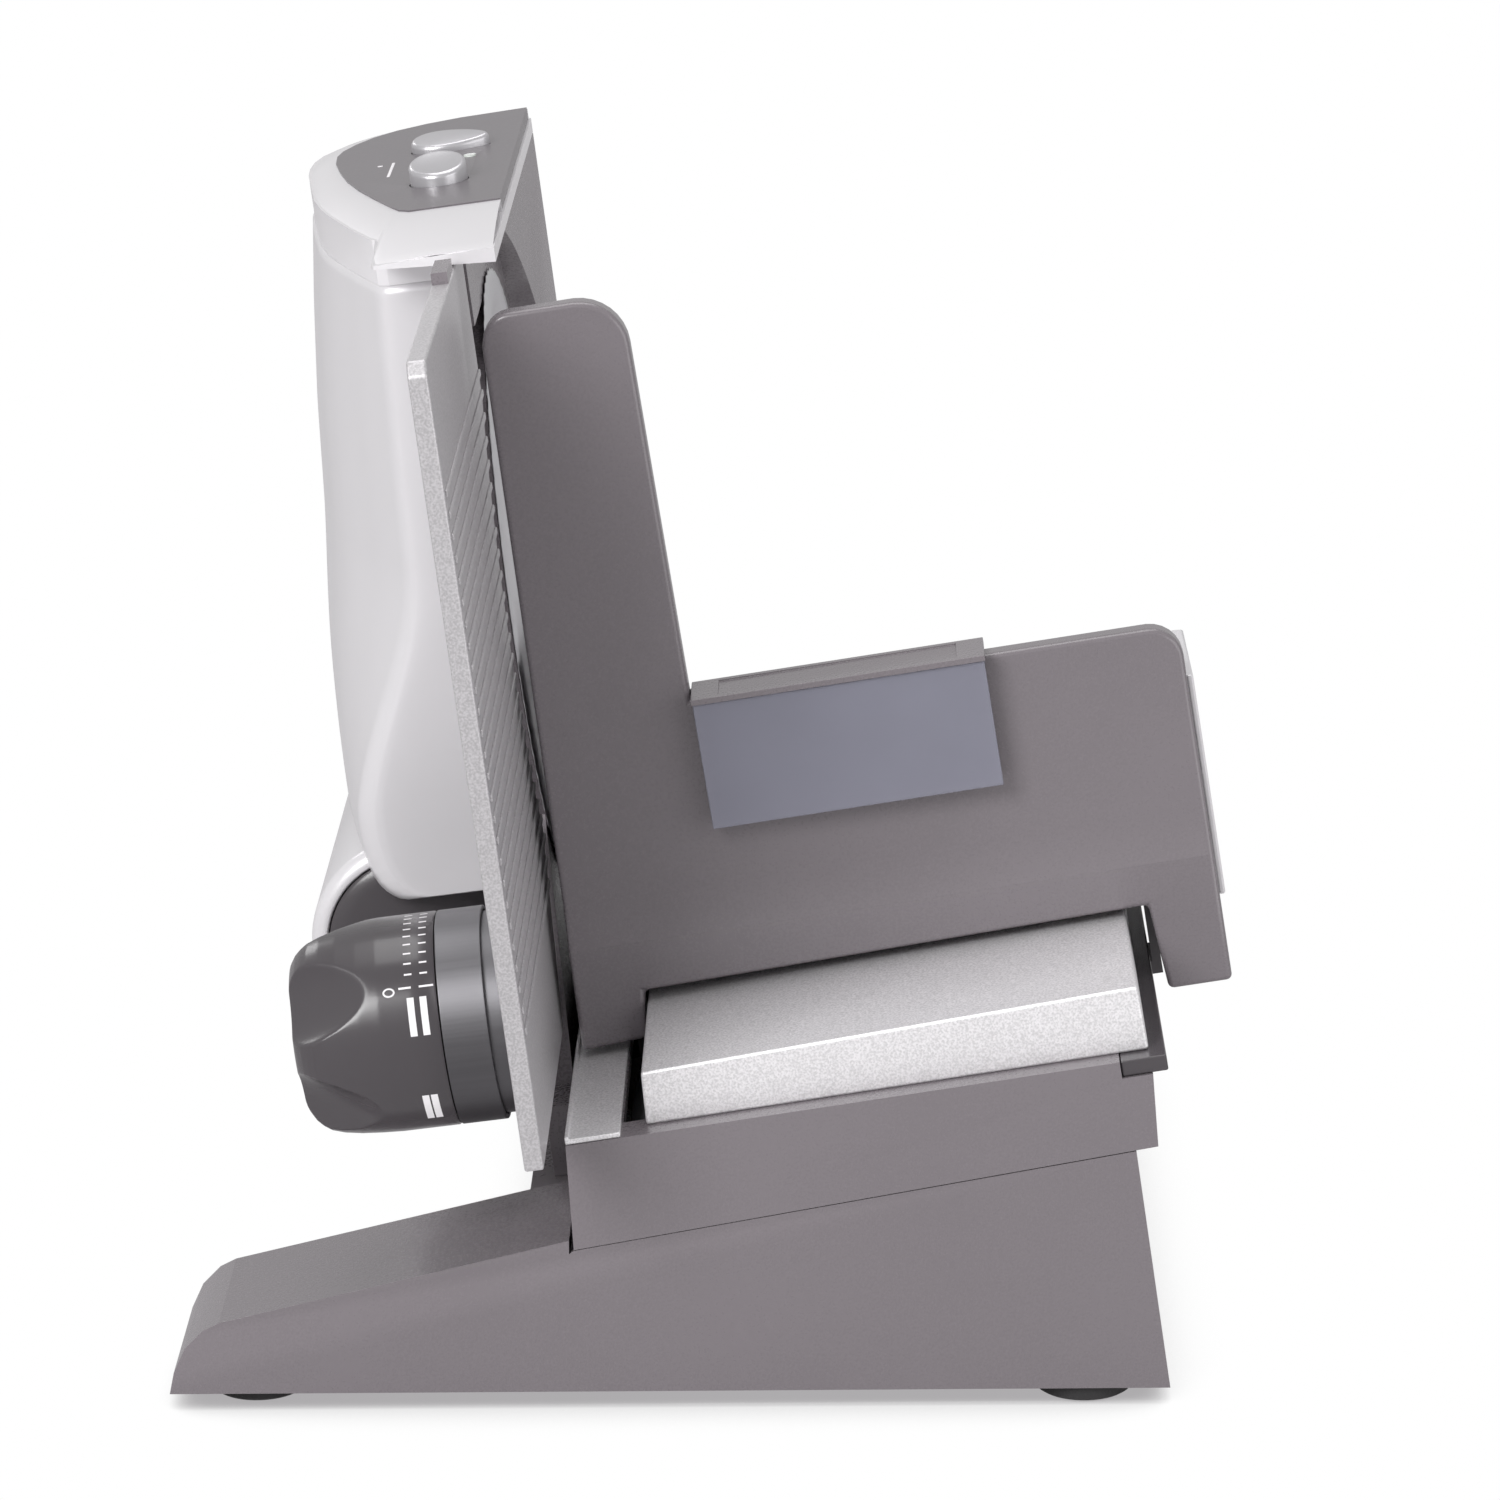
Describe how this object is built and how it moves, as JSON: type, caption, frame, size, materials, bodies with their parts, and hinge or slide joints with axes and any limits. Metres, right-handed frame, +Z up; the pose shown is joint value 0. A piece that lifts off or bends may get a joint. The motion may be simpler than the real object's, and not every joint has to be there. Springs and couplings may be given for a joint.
{
  "type": "food slicer",
  "caption": "Electric food slicer: tilted wavy-edged round blade beside a sliding L-shaped carriage with food holder, stop plate set by a side knob, motor housing with two buttons.",
  "frame": {"origin": "middle of the object's box on the worktop, in the plane under the feet", "axes": "+Z up, +X across from the thickness knob to the carriage, +Y away from the user's front edge along the carriage's stroke"},
  "size_m": [0.3148, 0.375, 0.338],
  "materials": {
    "warm_grey_plastic": "smooth gloss, warm grey",
    "pearl_plastic": "smooth pearl silver paint",
    "speckled_silver": "fine speckled silver",
    "brushed_metal": "brushed",
    "blade_steel": "ground stainless",
    "plain_steel": "turned steel",
    "charcoal_plastic": "satin charcoal",
    "dark_rubber": "matt rubber",
    "bronze": "sintered bronze",
    "white_nylon": "natural nylon",
    "clear_plate": "tinted clear plastic",
    "winding_copper": "enamelled wire",
    "cast_frame": "die cast, grey",
    "switch_plastic": "moulded switch body and board",
    "lens_green": "lens"
  },
  "bodies": {
    "body": {"base_housing": "warm_grey_plastic", "base_floor": "charcoal_plastic", "feet": "dark_rubber", "base_screws": "plain_steel", "cord_inlet": "dark_rubber", "terminal_block": "white_nylon", "rail_block": "warm_grey_plastic", "guide_rod": "plain_steel", "tray": "speckled_silver", "deck_cover": "speckled_silver", "right_rail": "charcoal_plastic", "spindle_bush": "bronze", "motor_can": "plain_steel", "stator": "cast_frame", "brushes": "charcoal_plastic", "motor_bearings": "bronze", "gear_frame": "cast_frame", "blade_plate": "warm_grey_plastic", "front_bracket": "cast_frame", "knob_collar": "brushed_metal", "motor_shell": "pearl_plastic", "motor_pod": "pearl_plastic", "pod_cap": "charcoal_plastic", "pod_bracket": "cast_frame", "transformer": "winding_copper", "hood": "pearl_plastic", "control_panel": "warm_grey_plastic", "indicator_lens": "lens_green", "round_spring": "plain_steel", "long_spring": "plain_steel", "switches": "switch_plastic"},
    "carriage": {"carriage_wall": "warm_grey_plastic", "carriage_frame": "warm_grey_plastic", "carriage_table": "speckled_silver", "wall_liner": "speckled_silver", "side_panel": "pearl_plastic", "guide_shoe": "charcoal_plastic", "slide_hooks": "charcoal_plastic", "glide_pads": "white_nylon"},
    "food_holder": {"holder_plate": "clear_plate", "holder_bridge": "warm_grey_plastic", "pusher": "warm_grey_plastic", "pusher_pins": "plain_steel"},
    "blade_set": {"blade": "blade_steel", "blade_hub": "charcoal_plastic", "blade_lock": "brushed_metal", "blade_spindle": "plain_steel", "worm_wheel": "white_nylon"},
    "motor_rotor": {"worm": "plain_steel", "armature": "winding_copper", "commutator": "bronze", "cooling_fan": "charcoal_plastic"},
    "stop_plate": {"fence_plate": "speckled_silver", "fence_carrier": "plain_steel", "fence_rods": "plain_steel", "fence_clip": "charcoal_plastic"},
    "thickness_knob": {"knob": "charcoal_plastic", "knob_spindle": "plain_steel"},
    "round_push": {"round_button": "brushed_metal"},
    "long_push": {"long_button": "brushed_metal"}
  },
  "joints": [
    {"name": "carriage_slide", "type": "slide", "parent": "body", "child": "carriage", "axis": [0, 1, 0], "range_m": [-0.075, 0.13]},
    {"name": "holder_slide", "type": "slide", "parent": "carriage", "child": "food_holder", "axis": [0.9888, 0, 0.1495], "range_m": [0, 0.056]},
    {"name": "knob_turn", "type": "hinge", "parent": "body", "child": "thickness_knob", "pos_m": [-0.08612, -0.1225, 0.11228], "axis": [0.993, 0, 0.1184], "range_deg": [-40, 200]},
    {"name": "plate_shift", "type": "slide", "parent": "body", "child": "stop_plate", "axis": [0.993, 0, 0.1184], "range_m": [-0.0101, 0.0021]},
    {"name": "motor_spin", "type": "hinge", "parent": "body", "child": "motor_rotor", "pos_m": [-0.08555, 0.0525, 0.15817], "axis": [0, 1, 0], "continuous": true},
    {"name": "blade_spin", "type": "hinge", "parent": "body", "child": "blade_set", "pos_m": [-0.05706, 0.0525, 0.20638], "axis": [0.993, 0, 0.1184], "continuous": true},
    {"name": "round_press", "type": "slide", "parent": "body", "child": "round_push", "axis": [-0.1184, 0, 0.993], "range_m": [-0.001, 0], "stiffness_N_per_m": 800, "deforming": ["round_spring"]},
    {"name": "long_press", "type": "slide", "parent": "body", "child": "long_push", "axis": [-0.1184, 0, 0.993], "range_m": [-0.001, 0], "stiffness_N_per_m": 800, "deforming": ["long_spring"]}
  ],
  "couplings": [
    {"joint": "plate_shift", "follows": "knob_turn", "m_per_rad": -0.0028648},
    {"joint": "blade_spin", "follows": "motor_spin", "ratio": 0.016667}
  ]
}
